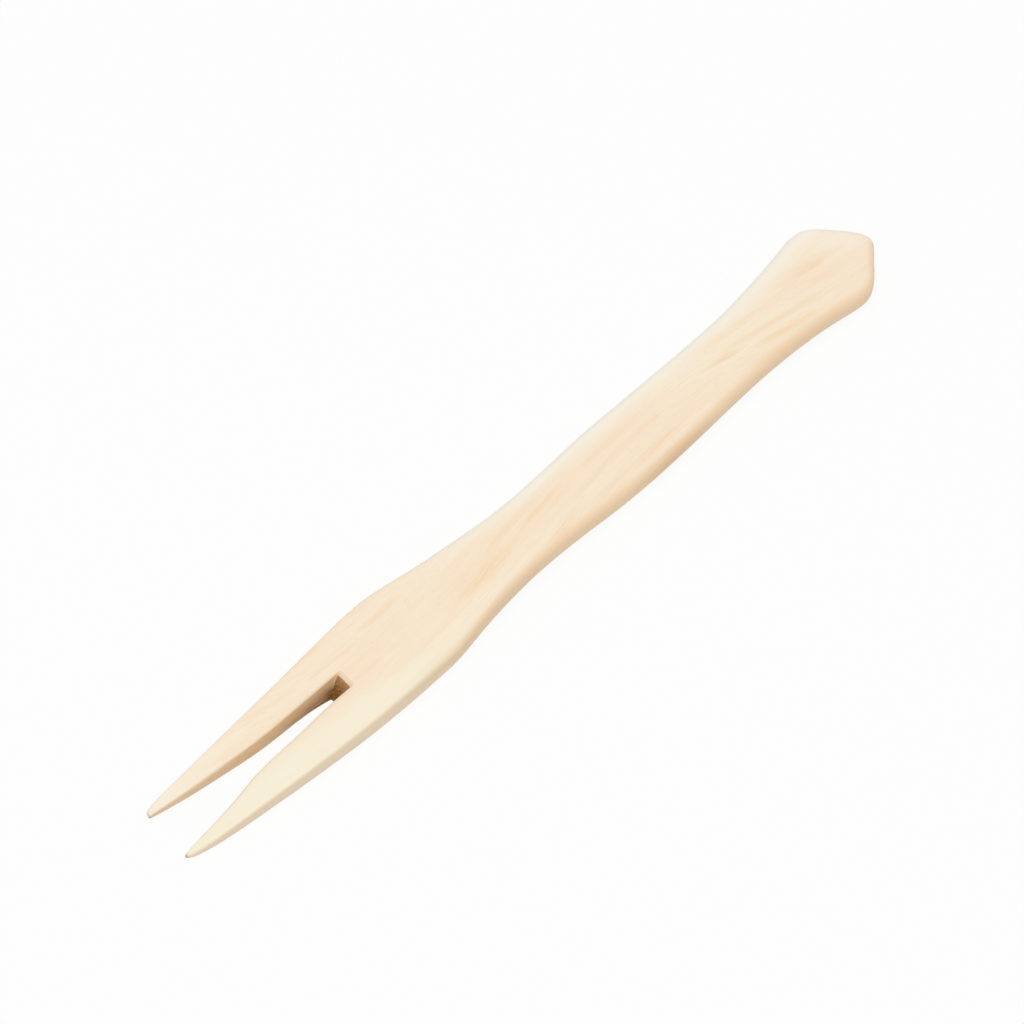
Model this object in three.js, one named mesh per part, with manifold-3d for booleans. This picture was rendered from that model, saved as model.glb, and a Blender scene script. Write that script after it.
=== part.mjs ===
// A flat two-tine fork carved by hand from one board of pale, close-grained wood.
// Millimetres, +Z up. It lies on its flat underside with the tines toward +X.
import * as THREE from 'three';
import { toCreasedNormals } from 'three/addons/utils/BufferGeometryUtils.js';
import Module from 'manifold-3d';

const wasm = await Module();
wasm.setup();
const { Manifold, Mesh } = wasm;

// Lengths along the fork, one after the other from the tine tips to the point of the handle
const TIP_TAPER_LENGTH = 12.8;
const TAPER_TO_ROOT = 34;
const ROOT_TO_HEAD = 12;
const HEAD_TO_NECK = 17;
const NECK_TO_WAIST = 21;
const WAIST_TO_SWELL = 27;
const SWELL_TO_WRIST = 33;
const WRIST_TO_SHOULDER = 32.3;
const SHOULDER_TO_POINT = 9.9;

// Widths across the fork at those places; the shoulder is measured to its corners before rounding
const TIP_SPAN = 13.2;
const TAPER_SPAN = 16.05;
const ROOT_WIDTH = 21;
const HEAD_WIDTH = 21.65;
const NECK_WIDTH = 17.9;
const WAIST_WIDTH = 15.05;
const SWELL_WIDTH = 16.95;
const WRIST_WIDTH = 15.65;
const SHOULDER_WIDTH = 22.9;
const POINT_FLAT = 0.3;

// How far the knife let the middle of each width wander off the straight axis, toward +Y
const TIP_DRIFT = -0.75;
const TAPER_DRIFT = 0.3;
const ROOT_DRIFT = 0.74;
const HEAD_DRIFT = 0.63;
const NECK_DRIFT = 0.8;
const WAIST_DRIFT = 0.9;
const SWELL_DRIFT = 0.9;
const WRIST_DRIFT = 0.2;
const SHOULDER_DRIFT = -0.62;
const POINT_DRIFT = 0.8;

// Thickness at those places, and the rise of the underside under the tips
const TIP_THICKNESS = 1;
const TAPER_THICKNESS = 3.6;
const ROOT_THICKNESS = 5.8;
const HEAD_THICKNESS = 6.6;
const WAIST_THICKNESS = 7.2;
const SHOULDER_THICKNESS = 7.2;
const TIP_LIFT = 0.4;

// Rounding of the long edges, in section
const TIP_EDGE = 0.35;
const TAPER_EDGE = 0.7;
const HEAD_EDGE = 0.9;
const WAIST_EDGE = 2.4;
const SHOULDER_EDGE = 2.6;
const POINT_EDGE = 1.5;

// Rounding in plan of the tip corners, the shoulders and the point of the handle
const TIP_ROUND = 0.5;
const SHOULDER_BLEND = 4;
const POINT_ROUND = 2;

// The slot between the tines; its root leans toward the tips going down and rounds off below
const SLOT_ROOT_WIDTH = 4;
const SLOT_MIDDLE_WIDTH = 4.45;
const SLOT_TAPER_WIDTH = 7.2;
const SLOT_TIP_WIDTH = 10.7;
const SLOT_ROOT_OFFSET = -0.48;
const SLOT_EDGE = 0.35;
const ROOT_LEAN = 3.5;
const ROOT_CORNER_TOP = 0.4;
const ROOT_CORNER_UNDER = 1.8;

// Fineness of the faceted surface
const STATION_STEP = 2;
const EDGE_STEPS = 4;
const POINT_STEPS = 16;
const SLOT_STEPS = 26;
const CORNER_STEPS = 5;

// Places along X that follow from the lengths
const HALF_LENGTH = (TIP_TAPER_LENGTH + TAPER_TO_ROOT + ROOT_TO_HEAD + HEAD_TO_NECK + NECK_TO_WAIST
  + WAIST_TO_SWELL + SWELL_TO_WRIST + WRIST_TO_SHOULDER + SHOULDER_TO_POINT) / 2;
const tipX = HALF_LENGTH;
const taperX = tipX - TIP_TAPER_LENGTH;
const rootX = taperX - TAPER_TO_ROOT;
const headX = rootX - ROOT_TO_HEAD;
const neckX = headX - HEAD_TO_NECK;
const waistX = neckX - NECK_TO_WAIST;
const swellX = waistX - WAIST_TO_SWELL;
const wristX = swellX - SWELL_TO_WRIST;
const shoulderX = wristX - WRIST_TO_SHOULDER;
const pointX = shoulderX - SHOULDER_TO_POINT;

// Smooth curve through [position, value] stations, listed from the tips back, with no overshoot
function curveThrough(stations) {
  const steps = stations.slice(1).map(([x, v], i) => (v - stations[i][1]) / (x - stations[i][0]));
  const slopes = stations.map((_, i) => {
    const [before, after] = [steps[i - 1], steps[i]];
    return before * after > 0 ? (2 * before * after) / (before + after) : 0;
  });
  const last = stations.length - 1;
  slopes[0] = 2 * steps[0] - slopes[1];
  slopes[last] = 2 * steps[last - 1] - slopes[last - 1];
  return (x) => {
    const next = stations.findIndex(([place], i) => i > 0 && place <= x);
    const b = next < 0 ? last : next;
    const a = b - 1;
    const span = stations[b][0] - stations[a][0];
    const u = (x - stations[a][0]) / span;
    const ease = u * u * (3 - 2 * u);
    return THREE.MathUtils.lerp(stations[a][1], stations[b][1], ease)
      + span * u * (1 - u) * (slopes[a] * (1 - u) - slopes[b] * u);
  };
}

const plainWidth = curveThrough([
  [tipX, TIP_SPAN], [taperX, TAPER_SPAN], [rootX, ROOT_WIDTH], [headX, HEAD_WIDTH], [neckX, NECK_WIDTH],
  [waistX, WAIST_WIDTH], [swellX, SWELL_WIDTH], [wristX, WRIST_WIDTH], [shoulderX, SHOULDER_WIDTH],
]);
const drift = curveThrough([
  [tipX, TIP_DRIFT], [taperX, TAPER_DRIFT], [rootX, ROOT_DRIFT], [headX, HEAD_DRIFT], [neckX, NECK_DRIFT],
  [waistX, WAIST_DRIFT], [swellX, SWELL_DRIFT], [wristX, WRIST_DRIFT], [shoulderX, SHOULDER_DRIFT],
  [pointX, POINT_DRIFT],
]);
const thickness = curveThrough([
  [tipX, TIP_THICKNESS], [taperX, TAPER_THICKNESS], [rootX, ROOT_THICKNESS], [headX, HEAD_THICKNESS],
  [waistX, WAIST_THICKNESS], [shoulderX, SHOULDER_THICKNESS], [pointX, SHOULDER_THICKNESS],
]);
const edgeRadius = curveThrough([
  [tipX, TIP_EDGE], [taperX, TAPER_EDGE], [headX, HEAD_EDGE], [waistX, WAIST_EDGE],
  [shoulderX, SHOULDER_EDGE], [pointX, POINT_EDGE],
]);

// The underside is flat from the point to the taper and lifts only under the tips
function undersideAt(x) {
  const along = THREE.MathUtils.clamp((x - taperX) / TIP_TAPER_LENGTH, 0, 1);
  return TIP_LIFT * along * along;
}

function topAt(x) {
  return undersideAt(x) + thickness(x);
}

// Half the width of the gabled end: two straight facets that meet in a rounded point
function gableHalfWidth(x) {
  const rise = (reach) => Math.sqrt((reach + POINT_ROUND) ** 2 - POINT_ROUND ** 2);
  const slope = (SHOULDER_WIDTH - POINT_FLAT) / 2 / rise(SHOULDER_TO_POINT);
  return POINT_FLAT / 2 + slope * rise(Math.max(x - pointX, 0));
}

// Half the width anywhere, with the tip corners and the shoulders rounded
function halfWidth(x) {
  const fromTip = Math.min(tipX - x, TIP_ROUND);
  const tipInset = TIP_ROUND - Math.sqrt(TIP_ROUND ** 2 - (TIP_ROUND - fromTip) ** 2);
  const side = plainWidth(x) / 2 - tipInset;
  if (x > wristX) {
    return side;
  }
  const gable = gableHalfWidth(x);
  const blend = Math.max(SHOULDER_BLEND - Math.abs(side - gable), 0) / SHOULDER_BLEND;
  return Math.min(side, gable) - (blend * blend * SHOULDER_BLEND) / 4;
}

// Places along X where the blank is measured: close together round the tip corners and the point
function blankStations() {
  const places = [];
  for (let i = 0; i <= CORNER_STEPS; i += 1) {
    places.push(tipX - TIP_ROUND * (1 - Math.cos((i / CORNER_STEPS) * (Math.PI / 2))));
  }
  const gableStart = shoulderX + SHOULDER_BLEND;
  const sideStart = tipX - TIP_ROUND;
  const sideSteps = Math.round((sideStart - gableStart) / STATION_STEP);
  for (let i = 1; i <= sideSteps; i += 1) {
    places.push(THREE.MathUtils.lerp(sideStart, gableStart, i / sideSteps));
  }
  for (let i = POINT_STEPS - 1; i >= 0; i -= 1) {
    places.push(pointX + (gableStart - pointX) * (i / POINT_STEPS) ** 1.5);
  }
  return places;
}

// A closed outline: the +Y side from the tips back, then the -Y side forward again
function outlineFrom(nearSide, farSide) {
  return [...nearSide, ...farSide.slice().reverse()];
}

// The same outline moved along its own normals, outward where the distance is positive
function offsetOutline(outline, distanceAt) {
  return outline.map((point, i) => {
    const before = outline.at(i - 1);
    const after = outline[(i + 1) % outline.length];
    const along = after.clone().sub(before).normalize();
    const outward = new THREE.Vector2(along.y, -along.x);
    return point.clone().addScaledVector(outward, distanceAt(point.x));
  });
}

// Solid between a stack of outlines with equal counts, each lifted by its own height above (x)
function solidFromLevels(levels) {
  const count = levels[0].outline.length;
  const positions = levels.flatMap(({ outline, heightAt }) =>
    outline.flatMap(({ x, y }) => [x, y, heightAt(x)]));
  const triangles = [];
  for (let level = 0; level < levels.length - 1; level += 1) {
    for (let i = 0; i < count; i += 1) {
      const next = (i + 1) % count;
      const [a, b] = [level * count + i, level * count + next];
      triangles.push(a, b, b + count, a, b + count, a + count);
    }
  }
  const top = (levels.length - 1) * count;
  for (let i = 0; i < count / 2 - 1; i += 1) {
    const [a, b, c, d] = [i, i + 1, count - 2 - i, count - 1 - i];
    triangles.push(a, c, b, a, d, c);
    triangles.push(top + a, top + b, top + c, top + a, top + c, top + d);
  }
  return new Manifold(new Mesh({
    numProp: 3,
    vertProperties: new Float32Array(positions),
    triVerts: new Uint32Array(triangles),
  }));
}

// The whole board shaped to its outline and thickness, with rounded long edges, before the slot
function makeBlank() {
  const places = blankStations();
  const side = (sign) => places.map((x) => new THREE.Vector2(x, drift(x) + sign * halfWidth(x)));
  const outline = outlineFrom(side(1), side(-1));
  const levels = [];
  for (const upper of [false, true]) {
    for (let i = 0; i <= EDGE_STEPS; i += 1) {
      const turn = ((upper ? EDGE_STEPS - i : i) / EDGE_STEPS) * (Math.PI / 2);
      const inset = (x) => -edgeRadius(x) * (1 - Math.sin(turn));
      const rise = (x) => edgeRadius(x) * (1 - Math.cos(turn));
      const heightAt = upper ? (x) => topAt(x) - rise(x) : (x) => undersideAt(x) + rise(x);
      levels.push({ outline: offsetOutline(outline, inset), heightAt });
    }
  }
  return solidFromLevels(levels);
}

const slotWidth = curveThrough([
  [tipX, SLOT_TIP_WIDTH], [taperX, SLOT_TAPER_WIDTH], [(taperX + rootX) / 2, SLOT_MIDDLE_WIDTH],
  [rootX, SLOT_ROOT_WIDTH],
]);

// The slot's outline at a share of the thickness: 0 on the underside, 1 on the top face
function slotOutline(share) {
  const end = tipX + TIP_TAPER_LENGTH / 2;
  const root = rootX + ROOT_LEAN * (1 - share);
  const corner = THREE.MathUtils.lerp(ROOT_CORNER_UNDER, ROOT_CORNER_TOP, share);
  const places = [];
  for (let i = 0; i <= SLOT_STEPS; i += 1) {
    places.push({ x: THREE.MathUtils.lerp(end, root + corner, i / SLOT_STEPS), inset: 0 });
  }
  for (let i = 1; i <= CORNER_STEPS; i += 1) {
    const turn = (i / CORNER_STEPS) * (Math.PI / 2);
    places.push({ x: root + corner * (1 - Math.sin(turn)), inset: corner * (1 - Math.cos(turn)) });
  }
  const side = (sign) => places.map(({ x, inset }) => {
    const reach = Math.min(x, tipX);
    const offset = SLOT_ROOT_OFFSET * ((tipX - reach) / (tipX - rootX));
    const half = slotWidth(Math.max(reach, rootX)) / 2 - inset;
    return new THREE.Vector2(x, drift(reach) + offset + sign * half);
  });
  return outlineFrom(side(1), side(-1));
}

// The wood taken out between the tines, flared at both faces so that the slot's rims are eased
function makeSlot() {
  const clear = 1;
  const nearTip = (x) => Math.min(x, tipX);
  const ease = [[1, -clear], [1, 0], [0.3, 0.3], [0, 1]];
  const lower = ease.map(([flare, depth]) => ({ flare, depth: depth < 0 ? depth : depth * SLOT_EDGE }));
  const middle = [1 / 3, 2 / 3].map((share) => ({ flare: 0, share }));
  const upper = lower.slice().reverse().map(({ flare, depth }) => ({ flare, depth, top: true }));
  const levels = [...lower, ...middle, ...upper].map(({ flare, depth, share, top }) => {
    const rootShare = share ?? Math.max(depth, 0) / ROOT_THICKNESS;
    const outline = slotOutline(top ? 1 - rootShare : rootShare);
    const heightAt = (x) => {
      const [bottom, thick] = [undersideAt(nearTip(x)), thickness(nearTip(x))];
      const up = share === undefined ? depth : share * thick;
      return top ? bottom + thick - up : bottom + up;
    };
    return { outline: offsetOutline(outline, () => flare * SLOT_EDGE), heightAt };
  });
  return solidFromLevels(levels);
}

// The finished solid as three.js geometry, moved so that the middle of its footprint is the origin
function geometryFrom(solid) {
  const { min, max } = solid.boundingBox();
  const centred = solid.translate([-(min[0] + max[0]) / 2, -(min[1] + max[1]) / 2, -min[2]]);
  const mesh = centred.getMesh();
  const geometry = new THREE.BufferGeometry();
  geometry.setAttribute('position', new THREE.BufferAttribute(mesh.vertProperties, mesh.numProp));
  geometry.setIndex(new THREE.BufferAttribute(mesh.triVerts, 1));
  return toCreasedNormals(geometry, THREE.MathUtils.degToRad(35));
}

// Pale wood, scraped smooth and left without a finish
const paleWood = new THREE.MeshStandardMaterial({ color: 0xf3e2c7, roughness: 0.62, metalness: 0 });

const carvedFork = new THREE.Mesh(geometryFrom(makeBlank().subtract(makeSlot())), paleWood);
carvedFork.name = 'carved_fork';

const fork = new THREE.Group();
fork.add(carvedFork);

export default fork;
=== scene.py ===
# A flat two-tine fork carved by hand from one board of pale wood, lying on a white table.
import math

import bmesh
import bpy
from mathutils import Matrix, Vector


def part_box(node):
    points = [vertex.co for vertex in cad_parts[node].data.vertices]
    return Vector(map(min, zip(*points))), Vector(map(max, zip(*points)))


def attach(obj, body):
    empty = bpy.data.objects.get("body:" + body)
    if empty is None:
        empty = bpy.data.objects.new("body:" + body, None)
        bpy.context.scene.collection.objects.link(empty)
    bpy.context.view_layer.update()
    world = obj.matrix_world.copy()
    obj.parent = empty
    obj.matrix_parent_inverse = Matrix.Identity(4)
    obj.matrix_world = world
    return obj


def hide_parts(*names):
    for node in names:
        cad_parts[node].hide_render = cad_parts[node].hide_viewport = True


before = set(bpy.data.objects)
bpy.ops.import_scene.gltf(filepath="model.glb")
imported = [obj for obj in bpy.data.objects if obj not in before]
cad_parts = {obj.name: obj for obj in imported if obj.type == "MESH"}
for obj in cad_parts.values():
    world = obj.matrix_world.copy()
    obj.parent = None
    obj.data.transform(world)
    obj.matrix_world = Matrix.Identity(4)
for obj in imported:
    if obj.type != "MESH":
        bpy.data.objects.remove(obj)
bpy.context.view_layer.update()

MM = 0.001

# The fork's length and thickness come from the solid that it stands for; the tips stay a hair inside it
low_corner, high_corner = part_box("carved_fork")
HAIR = 0.05 * MM
TIP_X = high_corner.x - HAIR
POINT_X = low_corner.x
BOARD_THICK = high_corner.z

# Places along the fork, and lines across the straight board that it is cut from
ROOT_X = 52.7 * MM
SHOULDER_X = -86 * MM
HALF_GABLE_X = (SHOULDER_X + POINT_X) / 2
ROW_STEP = 3 * MM
BOARD_HALF = 10 * MM
TINE_MIDDLE = 5 * MM
SLOT_HALF = 2 * MM
BOARD_LINES = (-BOARD_HALF, -TINE_MIDDLE, -SLOT_HALF, 0, SLOT_HALF, TINE_MIDDLE, BOARD_HALF)

# The tips are whittled to bullets: rows behind the end, with the share of the size that is left there, how
# far to one side each tine's end is drawn, and the height in the tine toward which it is drawn
TIP_ROWS = ((0 * MM, 0.2), (0.2 * MM, 0.55), (0.7 * MM, 0.85), (2 * MM, 1))
TIP_DRAWN = {"far": 0.5 * MM, "near": -0.35 * MM}
TIP_HEIGHT_SHARE = 0.35

# The far tine's end is cut back at a slant, most at its far side
TIP_SLANT = 0.3 * MM
TIP_SLANT_SHARES = {-BOARD_HALF: 1, -TINE_MIDDLE: 0.3}

# How much of the solid's rise off the table the tines keep
TIP_LIFT_SHARE = 0.4

# The slot was sawn and trued by eye. Places along it, in mm from the fork's middle, with how far in mm the
# near and the far wall swell into the slot, and how far both walls lean into it at the underside
NEAR_SWELL = ((52.7, 0), (56, 0.2), (60, 0.3), (69, 0), (73, 0.1), (78, 0.33), (81, 0.28), (85.5, -0.2))
FAR_SWELL = ((93, 0), (99.5, 0.25))
WALL_LEAN = ((64, 0.45), (76, 0.5), (86, 0.25), (92, 0.1))

# The outline was cut by eye too: how far the near and the far side swell outward at places along the fork
NEAR_SIDE = (
    (-30, 0.05), (-14, 0.2), (0, 0), (10, -0.2), (16, -0.22), (22, -0.05), (27, 0.3), (31, 0.48),
    (35, 0.3), (38, -0.03), (46, 0), (88, 0), (95, 0.15), (99.5, 0.1),
)
FAR_SIDE = (
    (-80, 0), (-74, 0.12), (-62, 0), (4, -0.17), (20, 0), (46, 0.1), (53, 0), (63, -0.26),
    (71, -0.2), (84, 0), (95, 0.15), (99.5, 0.1),
)

# Where the head runs into the handle the near edge of the top face was cut down a little
NEAR_DROP = ((22, 0), (28, 0.7), (33, 1.4), (38, 1.3), (44, 0.4), (49, 0))

# Cuts along the slot's walls and root, which part them into steps from the underside to the top face
SLOT_CUTS = 3
SLOT_STEPS = SLOT_CUTS + 1
CHAMFER_LEVEL = BOARD_THICK * SLOT_CUTS / SLOT_STEPS

# Toward the root the slot narrows on the underside, and the root leans out under the slot, below a chamfer
FOOT_REACH = 12 * MM
FOOT_PUSH = 3.9 * MM
FOOT_SHARE = 0.34
FOOT_CURVE = 2.5
CHAMFER_RUN = 0.55 * MM
CHAMFER_BACK = 0.35 * MM
CHAMFER_DROP = 0.5 * MM

# How brown the chamfer is, as a share of the root's brown, which is painted shade
CHAMFER_BROWN = 0.12

# Sharpness of the slot's rims at the root, which is gone near the tips, of the chamfer's lower edge, and of
# the root's corners from the underside up
RIM_CREASE = 0.75
SOFT_RIM_X = 94 * MM
CHAMFER_CREASE = 0.9
CORNER_CREASES = (0.3, 0.5, 0.7, 0.8)

# Rounding of the long edges and of the gabled end; under the tines and the end it is less, and nowhere more
# than a share of the thickness
BIGGEST_EASE = 2.7 * MM
POINT_EASE = 2.2 * MM
UNDER_TINE_EASE = 0.5
UNDER_END_EASE = 0.7
THICKEST_EASE = 0.4
EASE_STEPS = 3

# The smoothing draws the sides in by a share of their rounding, and corners by a share of their bend
SURFACE_LEVELS = 2
EASE_LOSS = 0.076
BEND_LOSS = 1 / 6

# The gabled end is felt out by lines that fan out from the middle of the shoulders
CORNER_TURN = math.radians(54)
HALF_GABLE_TURN = math.radians(73)

# What the smoothing leaves on the far shoulder of the gable and takes off the near one
FAR_TRIM = Vector((0.25, 0.05, 0)) * MM
NEAR_TRIM = Vector((-0.35, 0.3, 0)) * MM

# How unevenly the knife left the surface
KNIFE_WAVE = 18 * MM
KNIFE_DEPTH = 0.1 * MM

# Feeling out the solid: where a line starts from outside, and when two places count as one
REACH = 200 * MM
CLOSE = 0.01 * MM

# The sides are first met at a low level, the tines' faces a little in from the side, and an edge's rounding
# and the slot's walls a little below the top face. The lines keep off the tips' ends and the slot's root
LOW_LEVEL = 0.9 * MM
TINE_SHARE = 0.05
EDGE_DROP = 0.3 * MM
EDGE_DROP_SHARE = 0.25
SLOT_DROP = 0.6 * MM
TIP_INSIDE = 0.5 * MM
ROOT_INSIDE = 0.8 * MM

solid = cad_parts["carved_fork"]


def meets(start, heading):
    """Where a straight line from outside, or from the slot, first meets the solid."""
    return solid.ray_cast(Vector(start), Vector(heading))[1]


def near_to(value, place):
    return abs(value - place) < CLOSE


def read_off(stations, x):
    """A size between the stations along the fork where it was set, all of them in mm."""
    places = [place * MM for place, size in stations]
    sizes = [size * MM for place, size in stations]
    if x <= places[0]:
        return sizes[0]
    for i in range(1, len(places)):
        if x <= places[i]:
            share = (x - places[i - 1]) / (places[i] - places[i - 1])
            return sizes[i - 1] + (sizes[i] - sizes[i - 1]) * share
    return sizes[-1]


def section(row_x):
    """The fork's walls, faces and edge rounding at one place along it."""
    x = min(row_x, TIP_X - TIP_INSIDE)
    has_slot = row_x > ROOT_X - CLOSE
    far = meets((x, -REACH, LOW_LEVEL), (0, 1, 0)).y
    near = meets((x, REACH, LOW_LEVEL), (0, -1, 0)).y
    middle = far + (near - far) * (TINE_SHARE if has_slot else 0.5)
    top = meets((x, middle, REACH), (0, 0, -1)).z
    bottom = meets((x, middle, -REACH), (0, 0, 1)).z
    level = (top + bottom) / 2
    far = meets((x, -REACH, level), (0, 1, 0)).y
    near = meets((x, REACH, level), (0, -1, 0)).y

    # The radius of a round edge that stands back from the side by the inset, at the drop below the top face
    drop = min(EDGE_DROP, EDGE_DROP_SHARE * (top - bottom))
    inset = max(near - meets((x, REACH, top - drop), (0, -1, 0)).y, 0)
    radius = inset + drop + math.sqrt(2 * inset * drop)
    ease = min(radius, THICKEST_EASE * (top - bottom))

    found = {"top": top, "bottom": bottom, "ease": ease}
    found["far"] = far - EASE_LOSS * ease - read_off(FAR_SIDE, row_x)
    found["near"] = near + EASE_LOSS * ease + read_off(NEAR_SIDE, row_x)
    if has_slot:
        inside = (max(x, ROOT_X + ROOT_INSIDE), 0, max(level, top - SLOT_DROP))
        found["slot_far"] = meets(inside, (0, -1, 0)).y + read_off(FAR_SWELL, row_x)
        found["slot_near"] = meets(inside, (0, 1, 0)).y - read_off(NEAR_SWELL, row_x)
        found["bottom"] *= TIP_LIFT_SHARE
    return found


def whittled(found, share):
    """The same section drawn in toward the middle of each tine, and down toward the underside."""
    kept = dict(found)
    for outer, inner in (("far", "slot_far"), ("near", "slot_near")):
        middle = (found[outer] + found[inner]) / 2 + TIP_DRAWN[outer]
        kept[outer] = middle + (found[outer] - middle) * share
        kept[inner] = middle + (found[inner] - middle) * share
    height = found["top"] - found["bottom"]
    level = found["bottom"] + TIP_HEIGHT_SHARE * height
    kept["bottom"] = level - TIP_HEIGHT_SHARE * height * share
    kept["top"] = level + (1 - TIP_HEIGHT_SHARE) * height * share
    kept["ease"] = found["ease"] * share
    return kept


def board_sections():
    """The section at every place where the board is cut across, from the tips back to the shoulders."""
    tine_start = TIP_X - TIP_ROWS[-1][0]
    tine_steps = round((tine_start - ROOT_X) / ROW_STEP)
    handle_steps = round((ROOT_X - SHOULDER_X) / ROW_STEP)
    rows = [tine_start + (ROOT_X - tine_start) * i / tine_steps for i in range(1, tine_steps)]
    rows += [ROOT_X + (SHOULDER_X - ROOT_X) * i / handle_steps for i in range(handle_steps)]
    rows.append(SHOULDER_X)
    found = {TIP_X - back: whittled(section(TIP_X - back), share) for back, share in TIP_ROWS}
    found.update((x, section(x)) for x in rows)
    return found


def pick(piece, test):
    """Selects only the vertices whose places pass the test."""
    bpy.ops.mesh.select_all(action="DESELECT")
    work = bmesh.from_edit_mesh(piece.data)
    for vertex in work.verts:
        vertex.select = test(vertex.co)
    work.select_flush(True)
    bmesh.update_edit_mesh(piece.data)


def cut_board(sections):
    """A straight board with a cut across at every row, and lines along it for the slot and the tines."""
    bpy.ops.object.select_all(action="DESELECT")
    bpy.ops.mesh.primitive_cube_add(size=1, location=(0, 0, 0))
    board = bpy.context.object
    board.name = "carved_wooden_fork"
    bpy.ops.object.mode_set(mode="EDIT")
    bpy.ops.mesh.select_mode(type="VERT")
    bpy.ops.transform.resize(value=(TIP_X - POINT_X, 2 * BOARD_HALF, BOARD_THICK))
    bpy.ops.transform.translate(value=((TIP_X + POINT_X) / 2, 0, BOARD_THICK / 2))
    for x in [*list(sections)[1:], HALF_GABLE_X]:
        bpy.ops.mesh.select_all(action="SELECT")
        bpy.ops.mesh.bisect(plane_co=(x, 0, 0), plane_no=(1, 0, 0))
    for y in BOARD_LINES[1:-1]:
        bpy.ops.mesh.select_all(action="SELECT")
        bpy.ops.mesh.bisect(plane_co=(0, y, 0), plane_no=(0, 1, 0))
    return board


def cut_slot(board):
    """Takes out the wood between the tines and closes the slot's walls and root."""
    bpy.ops.mesh.select_mode(type="FACE")
    bpy.ops.mesh.select_all(action="DESELECT")
    work = bmesh.from_edit_mesh(board.data)
    for face in work.faces:
        middle = face.calc_center_median()
        face.select_set(middle.x > ROOT_X and abs(middle.y) < SLOT_HALF)
    bmesh.update_edit_mesh(board.data)
    bpy.ops.mesh.delete(type="FACE")
    bpy.ops.mesh.select_mode(type="EDGE")
    bpy.ops.mesh.select_all(action="DESELECT")
    work = bmesh.from_edit_mesh(board.data)
    for edge in work.edges:
        a, b = (vertex.co for vertex in edge.verts)
        edge.select_set(edge.is_boundary and near_to(a.z, b.z))
    bmesh.update_edit_mesh(board.data)
    bpy.ops.mesh.bridge_edge_loops(number_cuts=SLOT_CUTS, interpolation="LINEAR")
    bpy.ops.mesh.select_mode(type="VERT")
    bpy.ops.mesh.select_all(action="SELECT")
    bpy.ops.mesh.normals_make_consistent(inside=False)
    bpy.ops.object.mode_set(mode="OBJECT")


def mark_cuts(board):
    """Notes which faces were sawn along the slot and across its root, and how far out each place lies."""
    marks = board.data.attributes
    for name in ("slot_wall", "slot_root"):
        marks.new(name, "FLOAT", "FACE")
    # How far out a place lies also places the painted highlight on the far side
    marks.new("across", "FLOAT", "POINT")
    for vertex in board.data.vertices:
        marks["across"].data[vertex.index].value = vertex.co.y / BOARD_HALF
    # The slot's walls and root are marked for the painted shade on them
    for face in board.data.polygons:
        at = face.center
        marks["slot_wall"].data[face.index].value = at.x > ROOT_X and near_to(abs(at.y), SLOT_HALF)
        if near_to(at.x, ROOT_X):
            marks["slot_root"].data[face.index].value = 1 if at.z < CHAMFER_LEVEL else CHAMFER_BROWN


def mark_edges(board, sections):
    """Says how far each long edge is rounded, and which edges of the slot stay crisp."""
    mesh = board.data
    for name in ("bevel_weight_edge", "crease_edge"):
        mesh.attributes.new(name, "FLOAT", "EDGE")
    eases = mesh.attributes["bevel_weight_edge"].data
    creases = mesh.attributes["crease_edge"].data
    for edge in mesh.edges:
        a, b = (mesh.vertices[i].co for i in edge.vertices)
        middle = (a + b) / 2
        level = near_to(a.z, b.z)
        on_face = level and min(middle.z, BOARD_THICK - middle.z) < CLOSE
        if on_face and near_to(a.y, b.y) and near_to(abs(a.y), BOARD_HALF):
            row = min(sections, key=lambda x: abs(x - middle.x))
            eases[edge.index].value = sections[row]["ease"] / BIGGEST_EASE
            if middle.z < CLOSE and middle.x > ROOT_X:
                eases[edge.index].value *= UNDER_TINE_EASE
        if on_face and near_to(a.x, POINT_X) and near_to(b.x, POINT_X):
            share = abs(middle.y) / BOARD_HALF
            eases[edge.index].value = (POINT_EASE + (BIGGEST_EASE - POINT_EASE) * share) / BIGGEST_EASE
            if middle.z < CLOSE:
                eases[edge.index].value *= UNDER_END_EASE
        at_root = near_to(a.x, ROOT_X) and near_to(b.x, ROOT_X) and abs(middle.y) < SLOT_HALF + CLOSE
        on_wall = middle.x > ROOT_X and near_to(a.y, b.y) and near_to(abs(a.y), SLOT_HALF)
        if on_face and (at_root or on_wall):
            fade = min((middle.x - ROOT_X) / (SOFT_RIM_X - ROOT_X), 1)
            creases[edge.index].value = RIM_CREASE * (1 - fade)
        if at_root and level and near_to(middle.z, CHAMFER_LEVEL):
            creases[edge.index].value = CHAMFER_CREASE
        if at_root and not level and near_to(abs(middle.y), SLOT_HALF):
            creases[edge.index].value = CORNER_CREASES[int(middle.z / BOARD_THICK * SLOT_STEPS)]
    bpy.ops.object.mode_set(mode="EDIT")


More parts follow.
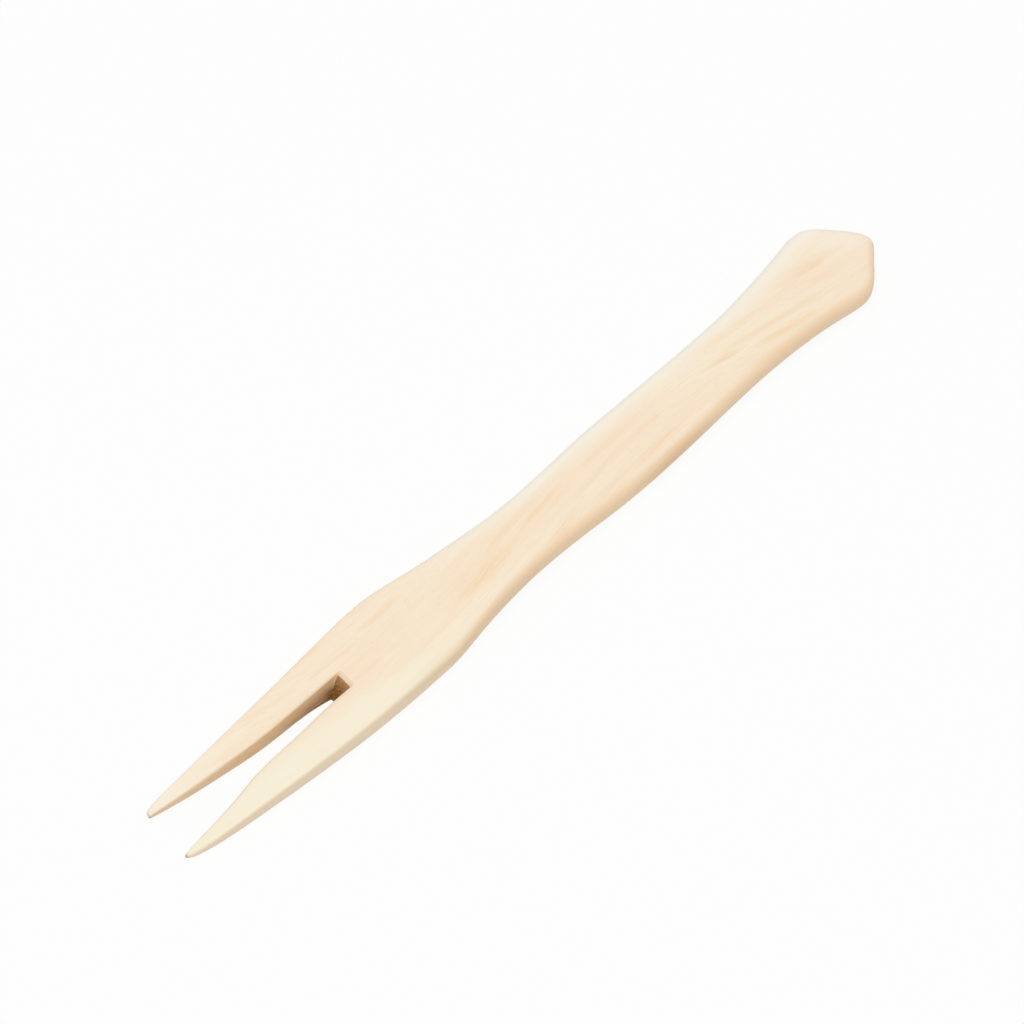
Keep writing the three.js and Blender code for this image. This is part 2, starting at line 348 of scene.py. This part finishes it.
def carve_rows(board, sections):
    """Brings each row of the board to its width, place and thickness."""
    for x, found in sections.items():
        far, near = found["far"], found["near"]
        pick(board, lambda co: near_to(co.x, x))
        thin = (found["top"] - found["bottom"]) / BOARD_THICK
        bpy.ops.transform.resize(value=(1, 1, thin), center_override=(x, 0, 0))
        bpy.ops.transform.translate(value=(0, 0, found["bottom"]))
        if "slot_far" not in found:
            widen = (near - far) / (2 * BOARD_HALF)
            bpy.ops.transform.resize(value=(1, widen, 1), center_override=(x, 0, 0))
            bpy.ops.transform.translate(value=(0, (near + far) / 2, 0))
            top_edge = Vector((x, near, found["top"]))
            pick(board, lambda co: (co - top_edge).length < CLOSE)
            bpy.ops.transform.translate(value=(0, 0, -read_off(NEAR_DROP, x)))
            continue
        slot_far, slot_near = found["slot_far"], found["slot_near"]
        moves = (
            (-BOARD_HALF, far), (BOARD_HALF, near),
            (-TINE_MIDDLE, (far + slot_far) / 2), (TINE_MIDDLE, (near + slot_near) / 2),
            (-SLOT_HALF, slot_far), (SLOT_HALF, slot_near), (0, (slot_far + slot_near) / 2),
        )
        for line, place in moves:
            back = TIP_SLANT * TIP_SLANT_SHARES.get(line, 0) if near_to(x, TIP_X) else 0
            pick(board, lambda co: near_to(co.x, x) and near_to(co.y, line))
            bpy.ops.transform.translate(value=(-back, place - line, 0))


def shape_slot(board, sections):
    """Leans the slot's walls in toward the underside, and its root out under the slot, below a chamfer."""
    for x, found in sections.items():
        if "slot_far" not in found:
            continue
        top, height = found["top"], found["top"] - found["bottom"]
        centre = (found["slot_far"] + found["slot_near"]) / 2
        half = (found["slot_near"] - found["slot_far"]) / 2
        along = min((x - ROOT_X) / FOOT_REACH, 1)
        lean = read_off(WALL_LEAN, x) / half
        foot = FOOT_SHARE + (1 - FOOT_SHARE) * math.sin(along * math.pi / 2)
        for cut in range(SLOT_STEPS):
            depth = 1 - cut / SLOT_STEPS
            z = top - depth * height
            narrow = (1 - lean * depth) * (1 + (foot - 1) * depth ** FOOT_CURVE)
            move = Vector((FOOT_PUSH * (1 - along) * depth, 0, 0))
            if near_to(x, ROOT_X) and cut == SLOT_CUTS:
                move = Vector((CHAMFER_RUN, 0, top - CHAMFER_DROP - z))
            pick(board, lambda co: near_to(co.x, x) and near_to(co.z, z)
                 and abs(co.y - centre) < half + CLOSE)
            bpy.ops.transform.resize(value=(1, narrow, 1), center_override=(x, centre, z))
            bpy.ops.transform.translate(value=move)
    root = sections[ROOT_X]
    pick(board, lambda co: near_to(co.x, ROOT_X) and near_to(co.z, root["top"])
         and root["slot_far"] - CLOSE < co.y < root["slot_near"] + CLOSE)
    bpy.ops.transform.translate(value=(-CHAMFER_BACK, 0, 0))


def carve_gable(board, shoulder):
    """Cuts the square end back to two facets that meet in a blunt point, with round shoulders."""
    level = BOARD_THICK / 2
    ends = [vertex.co.y for vertex in solid.data.vertices if near_to(vertex.co.x, POINT_X)]
    middle = Vector((SHOULDER_X, (shoulder["near"] + shoulder["far"]) / 2, level))
    point_turn = math.atan2(sum(ends) / len(ends) - middle.y, SHOULDER_X - POINT_X)

    def outline(turn):
        heading = Vector((-math.cos(turn), math.sin(turn), 0))
        return meets(middle + heading * REACH, -heading)

    def end_turn(line):
        corner = math.copysign(CORNER_TURN, line)
        return point_turn + (corner - point_turn) * abs(line) / BOARD_HALF

    # Round the end from the far side to the near side
    places = [Vector((SHOULDER_X, shoulder["far"], level)), outline(-HALF_GABLE_TURN)]
    places += [outline(end_turn(line)) for line in BOARD_LINES]
    places += [outline(HALF_GABLE_TURN), Vector((SHOULDER_X, shoulder["near"], level))]

    # The smoothed surface cuts corners, so each place is moved out by what it will lose
    cage = [b - (a + c - 2 * b) * BEND_LOSS for a, b, c in zip(places, places[1:], places[2:])]
    half_far, *end_row, half_near = cage
    for place, trim in (
        (half_far, FAR_TRIM), (end_row[0], FAR_TRIM), (end_row[-1], NEAR_TRIM), (half_near, NEAR_TRIM),
    ):
        place += trim
    widen = (shoulder["near"] - shoulder["far"]) / (2 * BOARD_HALF)
    for line, end in zip(BOARD_LINES, end_row):
        start = Vector((SHOULDER_X, middle.y + line * widen, level))
        half = {-BOARD_HALF: half_far, BOARD_HALF: half_near}.get(line, (start + end) / 2)
        for x, place in ((POINT_X, end), (HALF_GABLE_X, half)):
            pick(board, lambda co: near_to(co.x, x) and near_to(co.y, line))
            bpy.ops.transform.translate(value=(place.x - x, place.y - line, 0))


def finish_surface(board):
    """Rounds the edges, smooths the cuts into one surface and leaves it a little uneven."""
    bpy.ops.object.mode_set(mode="OBJECT")
    ease = board.modifiers.new("eased_edges", "BEVEL")
    ease.limit_method = "WEIGHT"
    ease.width = BIGGEST_EASE
    ease.segments = EASE_STEPS
    ease.use_clamp_overlap = False
    bpy.ops.object.modifier_apply(modifier=ease.name)
    smooth = board.modifiers.new("scraped_smooth", "SUBSURF")
    smooth.levels = SURFACE_LEVELS
    smooth.render_levels = SURFACE_LEVELS
    bpy.ops.object.modifier_apply(modifier=smooth.name)
    waves = bpy.data.textures.new("knife_waves", "CLOUDS")
    waves.noise_scale = KNIFE_WAVE
    uneven = board.modifiers.new("uneven_carving", "DISPLACE")
    uneven.texture = waves
    uneven.texture_coords = "LOCAL"
    uneven.strength = KNIFE_DEPTH

    # The knife only takes wood off
    uneven.mid_level = 1
    bpy.ops.object.modifier_apply(modifier=uneven.name)
    bpy.ops.object.shade_smooth()


sections = board_sections()
carved_fork = cut_board(sections)
cut_slot(carved_fork)
mark_cuts(carved_fork)
mark_edges(carved_fork, sections)
carve_rows(carved_fork, sections)
shape_slot(carved_fork, sections)
carve_gable(carved_fork, sections[SHOULDER_X])
finish_surface(carved_fork)

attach(carved_fork, "root")
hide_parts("carved_fork")


def linear(code):
    """A colour written as sRGB hex, as the linear values that the nodes take."""
    parts = [int(code[i:i + 2], 16) / 255 for i in (1, 3, 5)]
    return (*(c / 12.92 if c <= 0.04045 else ((c + 0.055) / 1.055) ** 2.4 for c in parts), 1)


def add(tree, kind, inputs=None, **settings):
    """Adds a node with its settings; an input is a value, or the node or socket that feeds it."""
    made = tree.nodes.new(kind)
    for name, value in settings.items():
        setattr(made, name, value)
    for name, value in (inputs or {}).items():
        socket = made.inputs[name] if isinstance(name, int) else next(
            found for found in made.inputs if found.enabled and found.name == name)
        if isinstance(value, bpy.types.Node):
            value = next(found for found in value.outputs if found.enabled)
        if isinstance(value, bpy.types.NodeSocket):
            tree.links.new(value, socket)
        else:
            socket.default_value = value
    return made


def new_material(name):
    made = bpy.data.materials.new(name)
    made.use_nodes = True
    made.node_tree.nodes.clear()
    return made, made.node_tree


# The grain wanders to and fro across the board, and the growth rings lie slanting in it
WANDER_DEPTH = 4 * MM
WANDER_LENGTH = 150 * MM
WANDER_MIDDLE = -33 * MM
RING_SLANT = math.radians(-28)

# The rings' width, how slowly they change along the grain, and how unevenly they run
RING_WIDTH = 3.2 * MM
RING_STRETCH = 0.08
RING_WAVER = 5
RING_WAVER_DETAIL = 2
RING_WAVER_SCALE = 0.6

# A wave node draws this many bands to the unit at scale 1
BANDS_PER_UNIT = 20 / math.tau

# Each kind of figure: its size along and across the grain, how much finer detail it has, and a shift that
# keeps it from falling together with the others
FIGURE = {
    "streak": (24 * MM, 3.2 * MM, 2, 3),
    "patch": (40 * MM, 9 * MM, 1, 5),
    "fibre": (7 * MM, 0.4 * MM, 3, 7),
    "pore": (1.4 * MM, 0.22 * MM, 0, 11),
}
DETAIL_ROUGHNESS = 0.55

# From where on each kind shows faintly and in full, and the most that it takes of the colour
RINGS_SHOWN = (0.3, 1)
STREAKS_SHOWN = (0.45, 0.7)
STREAK_SHARE = 0.4
PATCHES_SHOWN = (0.35, 0.65)
PATCH_SHARE = 1
FIBRES_SHOWN = (0.35, 0.75)
FIBRE_SHARE = 0.25
PORES_SHOWN = (0.68, 0.84)
PORE_SHARE = 0.16

# Between the palest and the darkest fibres: what they leave of an orange streak, and how rough they are
FIBRE_RANGE = (0.3, 0.7)
STREAK_LEFT = (0.15, 0.65)
ROUGHNESS = (0.55, 0.68)

# How far the fibres stand out, how strongly that shows, and the wood's refractive index
BUMP_DEPTH = 0.04 * MM
BUMP_STRENGTH = 0.4
WOOD_IOR = 1.5

# Orange streaks come out in the face: where along and across the fork, half length and half width, in mm,
# how deep they go, and the share of their reach within which they are full
FACE_STREAKS = (
    (52, -4.3, 11, 0.9), (39, -5.4, 9, 1.1), (17, 3, 14, 2.4), (-1, -0.3, 10, 1), (-2, 6.4, 9, 1.8),
    (-29, 6, 10, 1.7), (-54, 0.8, 8, 1.1), (-69, 4.8, 10, 1.4), (-66, 7.8, 15, 1.6), (-85, -2.4, 12, 1.3),
)
STREAK_DEPTH = 4 * MM
STREAK_FULL = 0.2

# Darker ones come out on the near side: where along and across the fork and half length, in mm, and
# strength; their half width and half height, and the height of their middle
SIDE_STREAKS = ((-32, 9, 17, 0.75), (34, 11, 22, 0.4))
SIDE_STREAK_SIZE = (2.5 * MM, 4 * MM)
SIDE_STREAK_HEIGHT = 4 * MM

# The sapwood edge crosses the head at a slant: its place at the fork's middle, its slope and its softness,
# where the sapwood fades in along the fork, and the most that it takes of the colour
SAPWOOD_EDGE = 11.3 * MM
SAPWOOD_SLOPE = 0.1
SAPWOOD_SOFT = 3 * MM
SAPWOOD_START = (22 * MM, 36 * MM)
SAPWOOD_SHARE = 0.8

# Surfaces that face the near side are painted warmer, a painted warm shade, but less so in the sapwood
WARM_FACING = (0.1, 0.75)
WARM_SHARE = 0.8
SAPWOOD_COOLS = 0.5

# The far side of the handle is paler, a painted highlight, fading out toward the head, and less so where it
# stands upright
PALE_ACROSS = (-0.3, -0.95)
PALE_SHARE = 0.95
PALE_HANDLE = (36 * MM, -2 * MM)
UPRIGHT_FACING = (-0.8, -1)
UPRIGHT_LEFT = 0.4

# The tips and the gabled end are paler too, and the end most of all toward the far side, where it is a
# painted highlight
PALE_TIPS = (70 * MM, 95 * MM)
TIPS_SHARE = 0.45
PALE_END = (-84 * MM, -98 * MM)
END_ACROSS = (0.3, -0.5)
END_SHARES = (0.2, 0.9)

# The painted shade on the slot's walls fades out along the slot toward the tips, and is broken up along the
# fibres
SLOT_SHADE_ALONG = (96 * MM, 62 * MM)
SLOT_SHADE_SHARES = (0.3, 0.95)
SHADE_BREAK_RANGE = (0.35, 0.65)
SHADE_BREAK_SHARES = (0.6, 1.35)

# The painted shade darkens toward the root and the underside, on the walls, in the corners beside the root
# and on the root
DARK_ALONG = (73 * MM, ROOT_X)
DARK_AT_TIPS = 0.25
CORNER_ALONG = (60 * MM, 54 * MM)
WALL_DARK_HEIGHT = (4.2 * MM, 0.8 * MM)
CORNER_DARK_HEIGHT = (3 * MM, 1.9 * MM)
ROOT_DARK_HEIGHT = (6.2 * MM, 1.8 * MM)

# The tips' ends are cut across the fibres, which shows from a little behind the end
CUT_ENDS = (TIP_X - 0.6 * MM, TIP_X - 0.1 * MM)
CUT_END_SHARE = 0.6


def wood_grain(tree, at):
    """The board's own lines, straightened along the wandering grain, and the same turned with the rings."""
    phase = add(tree, "ShaderNodeMath", {0: at["X"], 1: WANDER_MIDDLE}, operation="SUBTRACT")
    phase = add(tree, "ShaderNodeMath", {0: phase, 1: math.tau / WANDER_LENGTH}, operation="MULTIPLY")
    wander = add(tree, "ShaderNodeMath", {0: phase}, operation="COSINE")
    across = add(tree, "ShaderNodeMath", {
        0: wander, 1: WANDER_DEPTH, 2: at["Y"]}, operation="MULTIPLY_ADD")
    straight = add(tree, "ShaderNodeCombineXYZ", {"X": at["X"], "Y": across, "Z": at["Z"]})
    return straight, add(tree, "ShaderNodeMapping", {"Vector": straight, "Rotation": (RING_SLANT, 0, 0)})


def wood_figure(tree, grain):
    """One noise for each kind of figure, drawn out along the grain."""
    figure = {}
    for name, (length, width, detail, shift) in FIGURE.items():
        drawn = add(tree, "ShaderNodeMapping", {
            "Vector": grain, "Location": (shift, shift, shift), "Scale": (1 / length, 1 / width, 1 / width)})
        figure[name] = add(tree, "ShaderNodeTexNoise", {
            "Vector": drawn, "Scale": 1, "Detail": detail, "Roughness": DETAIL_ROUGHNESS}).outputs[0]
    return figure


def soft_streak(tree, here, middle, reach, full, strength):
    """A streak round a place: at its strength within a share of its reach, and gone at its reach."""
    local = add(tree, "ShaderNodeVectorMath", {0: here, 1: middle}, operation="SUBTRACT")
    local = add(tree, "ShaderNodeVectorMath", {0: local, 1: reach}, operation="DIVIDE")
    away = add(tree, "ShaderNodeVectorMath", {0: local}, operation="LENGTH").outputs["Value"]
    return add(tree, "ShaderNodeMapRange", {
        "Value": away, "From Min": 1, "From Max": full, "To Max": strength,
    }, interpolation_type="SMOOTHSTEP")


def face_streaks(tree, straight, grain, figure):
    """Growth rings, which show only where the knife ran along them, and orange streaks in the face."""
    slow = add(tree, "ShaderNodeMapping", {"Vector": grain, "Scale": (RING_STRETCH, 1, 1)})
    rings = add(tree, "ShaderNodeTexWave", {
        "Vector": slow, "Scale": 1 / (BANDS_PER_UNIT * RING_WIDTH),
        "Distortion": RING_WAVER, "Detail": RING_WAVER_DETAIL, "Detail Scale": RING_WAVER_SCALE,
    }, wave_type="BANDS", bands_direction="Y").outputs["Fac"]
    rings = add(tree, "ShaderNodeMapRange", {
        "Value": rings, "From Min": RINGS_SHOWN[0], "From Max": RINGS_SHOWN[1]})
    shown = add(tree, "ShaderNodeMapRange", {
        "Value": figure["streak"], "From Min": STREAKS_SHOWN[0], "From Max": STREAKS_SHOWN[1],
        "To Max": STREAK_SHARE})
    streaks = add(tree, "ShaderNodeMath", {0: rings, 1: shown}, operation="MULTIPLY")
    broken = add(tree, "ShaderNodeMapRange", {
        "Value": figure["fibre"], "From Min": FIBRE_RANGE[0], "From Max": FIBRE_RANGE[1],
        "To Min": STREAK_LEFT[0], "To Max": STREAK_LEFT[1]})
    for x, y, half_length, half_width in FACE_STREAKS:
        drift = WANDER_DEPTH * math.cos(math.tau * (x * MM - WANDER_MIDDLE) / WANDER_LENGTH)
        middle = (x * MM, y * MM + drift, BOARD_THICK)
        reach = (half_length * MM, half_width * MM, STREAK_DEPTH)
        drawn = soft_streak(tree, straight, middle, reach, STREAK_FULL, broken)
        streaks = add(tree, "ShaderNodeMath", {0: streaks, 1: drawn}, operation="MAXIMUM")
    return streaks


def side_streaks(tree, place, figure):
    """The darker streaks on the near side, softly broken up by the fibres."""
    dark = 0
    for x, y, half_length, strength in SIDE_STREAKS:
        middle = (x * MM, y * MM, SIDE_STREAK_HEIGHT)
        reach = (half_length * MM, *SIDE_STREAK_SIZE)
        drawn = soft_streak(tree, place.outputs["Object"], middle, reach, 0, strength)
        dark = add(tree, "ShaderNodeMath", {0: dark, 1: drawn}, operation="MAXIMUM")
    return add(tree, "ShaderNodeMath", {0: dark, 1: figure["fibre"]}, operation="MULTIPLY")


def sapwood_side(tree, at):
    """Sapwood lies beyond a slanting line in the head."""
    beyond = add(tree, "ShaderNodeMath", {
        0: at["X"], 1: SAPWOOD_SLOPE, 2: at["Y"]}, operation="MULTIPLY_ADD")
    sapwood = add(tree, "ShaderNodeMapRange", {
        "Value": beyond, "From Min": SAPWOOD_EDGE - SAPWOOD_SOFT,
        "From Max": SAPWOOD_EDGE + SAPWOOD_SOFT, "To Max": SAPWOOD_SHARE,
    }, interpolation_type="SMOOTHSTEP")
    head = add(tree, "ShaderNodeMapRange", {
        "Value": at["X"], "From Min": SAPWOOD_START[0], "From Max": SAPWOOD_START[1]})
    return add(tree, "ShaderNodeMath", {0: sapwood, 1: head}, operation="MULTIPLY")


def painted_warm_shade(tree, facing, sapwood):
    """Painted warm shade: surfaces that face the near side are warmer."""
    warm = add(tree, "ShaderNodeMapRange", {
        "Value": facing["Y"], "From Min": WARM_FACING[0], "From Max": WARM_FACING[1], "To Max": WARM_SHARE,
    }, interpolation_type="SMOOTHSTEP")
    sapwood_lessens = add(tree, "ShaderNodeMath", {0: sapwood, 1: -SAPWOOD_COOLS, 2: 1}, operation="MULTIPLY_ADD")
    return add(tree, "ShaderNodeMath", {0: warm, 1: sapwood_lessens}, operation="MULTIPLY")


def painted_highlight_and_pale_ends(tree, at, facing):
    """A painted highlight on the far side of the handle, and the paler tips and gabled end."""
    outward = add(tree, "ShaderNodeAttribute", attribute_name="across").outputs["Fac"]
    pale = add(tree, "ShaderNodeMapRange", {
        "Value": outward, "From Min": PALE_ACROSS[0], "From Max": PALE_ACROSS[1], "To Max": PALE_SHARE,
    }, interpolation_type="SMOOTHSTEP")
    handle = add(tree, "ShaderNodeMapRange", {
        "Value": at["X"], "From Min": PALE_HANDLE[0], "From Max": PALE_HANDLE[1]})
    upright = add(tree, "ShaderNodeMapRange", {
        "Value": facing["Y"], "From Min": UPRIGHT_FACING[0], "From Max": UPRIGHT_FACING[1],
        "To Min": 1, "To Max": UPRIGHT_LEFT,
    }, interpolation_type="SMOOTHSTEP")
    for share in (handle, upright):
        pale = add(tree, "ShaderNodeMath", {0: pale, 1: share}, operation="MULTIPLY")
    end_share = add(tree, "ShaderNodeMapRange", {
        "Value": outward, "From Min": END_ACROSS[0], "From Max": END_ACROSS[1],
        "To Min": END_SHARES[0], "To Max": END_SHARES[1]})
    for (start, full), share in ((PALE_TIPS, TIPS_SHARE), (PALE_END, end_share)):
        toward = add(tree, "ShaderNodeMapRange", {
            "Value": at["X"], "From Min": start, "From Max": full, "To Max": share})
        pale = add(tree, "ShaderNodeMath", {0: pale, 1: toward}, operation="MAXIMUM")
    return pale


def painted_slot_shade(tree, at, figure):
    """Painted shade in the slot: on the walls, deeper down on the walls, on the root, and deeper down at the
    root.
    """
    sawn = add(tree, "ShaderNodeAttribute", attribute_name="slot_wall").outputs["Fac"]
    root = add(tree, "ShaderNodeAttribute", attribute_name="slot_root").outputs["Fac"]
    wall_deep, corner_deep, root_deep = (add(tree, "ShaderNodeMapRange", {
        "Value": at["Z"], "From Min": start, "From Max": full,
    }) for start, full in (WALL_DARK_HEIGHT, CORNER_DARK_HEIGHT, ROOT_DARK_HEIGHT))
    slot_shade_along = add(tree, "ShaderNodeMapRange", {
        "Value": at["X"], "From Min": SLOT_SHADE_ALONG[0], "From Max": SLOT_SHADE_ALONG[1],
        "To Min": SLOT_SHADE_SHARES[0], "To Max": SLOT_SHADE_SHARES[1]})
    shade_break = add(tree, "ShaderNodeMapRange", {
        "Value": figure["fibre"], "From Min": SHADE_BREAK_RANGE[0], "From Max": SHADE_BREAK_RANGE[1],
        "To Min": SHADE_BREAK_SHARES[0], "To Max": SHADE_BREAK_SHARES[1]})
    walls = sawn
    for share in (slot_shade_along, shade_break):
        walls = add(tree, "ShaderNodeMath", {0: walls, 1: share}, operation="MULTIPLY")

    toward_root = add(tree, "ShaderNodeMapRange", {
        "Value": at["X"], "From Min": DARK_ALONG[0], "From Max": DARK_ALONG[1], "To Min": DARK_AT_TIPS,
    }, interpolation_type="SMOOTHSTEP")
    dark_walls = walls
    for share in (toward_root, wall_deep):
        dark_walls = add(tree, "ShaderNodeMath", {0: dark_walls, 1: share}, operation="MULTIPLY")

    beside_root = add(tree, "ShaderNodeMapRange", {
        "Value": at["X"], "From Min": CORNER_ALONG[0], "From Max": CORNER_ALONG[1],
    }, interpolation_type="SMOOTHSTEP")
    corner = sawn
    for share in (beside_root, corner_deep):
        corner = add(tree, "ShaderNodeMath", {0: corner, 1: share}, operation="MULTIPLY")
    dark_root = add(tree, "ShaderNodeMath", {0: root, 1: root_deep}, operation="MULTIPLY")
    dark_root = add(tree, "ShaderNodeMath", {0: dark_root, 1: corner}, operation="MAXIMUM")
    dark_root = add(tree, "ShaderNodeMath", {0: dark_root, 1: shade_break}, operation="MULTIPLY")
    return walls, dark_walls, root, dark_root


def scraped_maple():
    """Pale hardwood, taken to be maple, knife cut and scraped, never oiled: matt, with a faint figure.

    Soft pinkish streaks follow the growth rings and fade in and out, fine fibres run with them, the
    sapwood along one edge is paler, and the tips' ends, cut across the fibres, are brown. Painted shade
    makes the near side warmer than the face and the slot's walls and root brown, and a painted highlight
    makes the far side paler. Real fibres and pores are finer than a pixel, so they are drawn coarser.
    """
    made, tree = new_material("scraped_maple")
    place = add(tree, "ShaderNodeTexCoord")
    at = add(tree, "ShaderNodeSeparateXYZ", {"Vector": place.outputs["Object"]}).outputs
    facing = add(tree, "ShaderNodeSeparateXYZ", {"Vector": place.outputs["Normal"]}).outputs
    straight, grain = wood_grain(tree, at)
    figure = wood_figure(tree, grain)
    patches, fibres, pores = (add(tree, "ShaderNodeMapRange", {
        "Value": figure[name], "From Min": start, "From Max": full, "To Max": share,
    }) for name, (start, full), share in (
        ("patch", PATCHES_SHOWN, PATCH_SHARE),
        ("fibre", FIBRES_SHOWN, FIBRE_SHARE),
        ("pore", PORES_SHOWN, PORE_SHARE),
    ))
    sapwood = sapwood_side(tree, at)
    walls, dark_walls, root, dark_root = painted_slot_shade(tree, at, figure)
    ends = add(tree, "ShaderNodeMapRange", {
        "Value": at["X"], "From Min": CUT_ENDS[0], "From Max": CUT_ENDS[1], "To Max": CUT_END_SHARE})

    colour = linear("#F6E7CF")
    for share, code in (
        (patches, "#F5E0C4"),
        (face_streaks(tree, straight, grain, figure), "#F2CB9C"),
        (fibres, "#EAD2B0"),
        (pores, "#C9A27A"),
        # Painted highlight on the far side, and paler tips and gabled end
        (painted_highlight_and_pale_ends(tree, at, facing), "#F7F0E0"),
        (sapwood, "#F4ECD4"),
        # Painted warm shade on surfaces that face the near side
        (painted_warm_shade(tree, facing, sapwood), "#F5D5AE"),
        (side_streaks(tree, place, figure), "#D8A45C"),
        # Painted shade in the slot: browner walls and root, darker deep down and toward the root
        (walls, "#F1D3A8"),
        (dark_walls, "#8A5A0C"),
        (root, "#C69E68"),
        (dark_root, "#7A4A00"),
        (ends, "#8A6446"),
    ):
        colour = add(tree, "ShaderNodeMix", {
            "Factor": share, "A": colour, "B": linear(code)}, data_type="RGBA")

    raised = add(tree, "ShaderNodeMath", {0: figure["fibre"], 1: pores}, operation="SUBTRACT")
    bump = add(tree, "ShaderNodeBump", {
        "Strength": BUMP_STRENGTH, "Distance": BUMP_DEPTH, "Height": raised})
    rough = add(tree, "ShaderNodeMapRange", {
        "Value": figure["fibre"], "From Min": FIBRE_RANGE[0], "From Max": FIBRE_RANGE[1],
        "To Min": ROUGHNESS[0], "To Max": ROUGHNESS[1]})
    shader = add(tree, "ShaderNodeBsdfPrincipled", {
        "Base Color": colour, "Roughness": rough, "IOR": WOOD_IOR, "Normal": bump})
    add(tree, "ShaderNodeOutputMaterial", {"Surface": shader})
    return made


def seen_rays(tree):
    """1 for rays that come from the camera, straight or by way of a mirror or glass."""
    path = add(tree, "ShaderNodeLightPath").outputs
    seen = path["Is Camera Ray"]
    for name in ("Is Glossy Ray", "Is Transmission Ray"):
        seen = add(tree, "ShaderNodeMath", {0: seen, 1: path[name]}, operation="MAXIMUM")
    return seen


# The table, in metres across, is painted matt white. To the eye this share of it is plain white, and the
# rest carries the shadow
TABLE_SIZE = 4
TABLE_WHITE = 0.9


def white_paint():
    """Matt white paint on a board, with no sheen and no grain showing through."""
    made, tree = new_material("matt_white_paint")
    paint = add(tree, "ShaderNodeBsdfDiffuse", {"Color": linear("#F0F0F0")})
    plain = add(tree, "ShaderNodeEmission", {"Strength": 1})
    share = add(tree, "ShaderNodeMath", {0: seen_rays(tree), 1: TABLE_WHITE}, operation="MULTIPLY")
    mixed = add(tree, "ShaderNodeMixShader", {0: share, 1: paint, 2: plain})
    add(tree, "ShaderNodeOutputMaterial", {"Surface": mixed})
    return made


carved_fork.data.materials.append(scraped_maple())

bpy.ops.object.select_all(action="DESELECT")
bpy.ops.mesh.primitive_plane_add(size=TABLE_SIZE, location=(0, 0, 0))
table = bpy.context.object
table.name = "white_table"
table.data.materials.append(white_paint())

# A white room and one large soft box overhead, its size and place in metres
SKY_STRENGTH = 0.58
KEY_POWER = 9.8
KEY_SIZE = 1.2
KEY_PLACE = Vector((0.1, 0.03, 1.37))

world = bpy.data.worlds.new("soft_room")
bpy.context.scene.world = world
world.use_nodes = True
sky = world.node_tree
sky.nodes.clear()
soft = add(sky, "ShaderNodeBackground", {"Color": linear("#FFFFFF"), "Strength": SKY_STRENGTH})
white = add(sky, "ShaderNodeBackground", {"Color": linear("#FFFFFF"), "Strength": 1})
mixed = add(sky, "ShaderNodeMixShader", {0: seen_rays(sky), 1: soft, 2: white})
add(sky, "ShaderNodeOutputWorld", {"Surface": mixed})

bpy.ops.object.light_add(type="AREA", location=KEY_PLACE)
key = bpy.context.object
key.name = "soft_box"
key.data.energy = KEY_POWER
key.data.size = KEY_SIZE
key.rotation_euler = (-KEY_PLACE).to_track_quat("-Z", "Y").to_euler()

# The camera looks down on the fork through a long lens
LENS = 100
SENSOR = 36
CAMERA_AZIMUTH = math.radians(136.354)
CAMERA_ELEVATION = math.radians(62)
CAMERA_DISTANCE = 588.73 * MM
CAMERA_AIM = Vector((0.957, -6.23, 0)) * MM
back = Vector((
    math.sin(CAMERA_AZIMUTH) * math.cos(CAMERA_ELEVATION),
    -math.cos(CAMERA_AZIMUTH) * math.cos(CAMERA_ELEVATION),
    math.sin(CAMERA_ELEVATION),
))
bpy.ops.object.camera_add(location=CAMERA_AIM + back * CAMERA_DISTANCE)
camera = bpy.context.object
camera.name = "camera"
camera.rotation_euler = (-back).to_track_quat("-Z", "Y").to_euler()
camera.data.lens = LENS
camera.data.sensor_width = SENSOR
bpy.context.scene.camera = camera
bpy.context.scene.view_settings.view_transform = "Standard"
